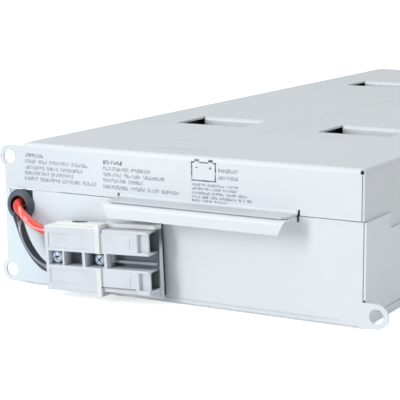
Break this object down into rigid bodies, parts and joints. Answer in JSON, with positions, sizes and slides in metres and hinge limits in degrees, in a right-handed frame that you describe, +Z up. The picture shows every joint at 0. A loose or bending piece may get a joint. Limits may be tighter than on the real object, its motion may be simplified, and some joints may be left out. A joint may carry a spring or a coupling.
{
  "type": "ups battery cartridge",
  "caption": "Flat sheet metal battery tray and cover with mounting ears, a turned-out pull lip, a two-pole plug on short leads and sealed battery blocks inside",
  "frame": {"origin": "centre of the body's base, on the face that it rests on", "axes": "+X to the right seen from the front panel, +Y from the front panel to the back, +Z up"},
  "size_m": [0.2431, 0.5614, 0.083],
  "materials": {
    "painted_sheet": "light grey satin powder coat",
    "battery_case": "dark grey moulded case",
    "battery_lid": "dark grey moulded lid",
    "link_metal": "tinned",
    "foam": "closed-cell foam",
    "board": "insulating board",
    "grommet_rubber": "black rubber",
    "connector_plastic": "light grey moulding",
    "contact_metal": "silver plated",
    "screw_steel": "zinc plated",
    "fuse_body": "ceramic tube with metal caps",
    "lead_red": "red insulation",
    "lead_black": "black insulation"
  },
  "bodies": {
    "root": {"battery_case_left_1": "battery_case", "battery_case_left_2": "battery_case", "battery_case_left_3": "battery_case", "battery_case_left_4": "battery_case", "battery_case_left_5": "battery_case", "battery_case_right_1": "battery_case", "battery_case_right_2": "battery_case", "battery_case_right_3": "battery_case", "battery_case_right_4": "battery_case", "battery_case_right_5": "battery_case", "battery_lid_left_1": "battery_lid", "battery_lid_left_2": "battery_lid", "battery_lid_left_3": "battery_lid", "battery_lid_left_4": "battery_lid", "battery_lid_left_5": "battery_lid", "battery_lid_right_1": "battery_lid", "battery_lid_right_2": "battery_lid", "battery_lid_right_3": "battery_lid", "battery_lid_right_4": "battery_lid", "battery_lid_right_5": "battery_lid", "bay_wall": "board", "column_divider_sheet": "foam", "connector_housing": "connector_plastic", "connector_nuts": "screw_steel", "connector_screws": "screw_steel", "connector_spacers": "board", "contact_lower": "contact_metal", "contact_upper": "contact_metal", "cover": "painted_sheet", "cross_link": "link_metal", "floor_foam_sheet": "foam", "front_panel": "painted_sheet", "fuse_block": "board", "fuse_cartridge": "fuse_body", "grommet": "grommet_rubber", "inner_lead_black": "lead_black", "inner_lead_fuse": "lead_red", "inner_lead_red": "lead_red", "lead_black": "lead_black", "lead_red": "lead_red", "rear_foam_block": "foam", "rear_screws": "screw_steel", "series_links": "link_metal", "terminal_blades": "link_metal", "top_foam_strips": "foam", "tray": "painted_sheet"}
  },
  "joints": []
}
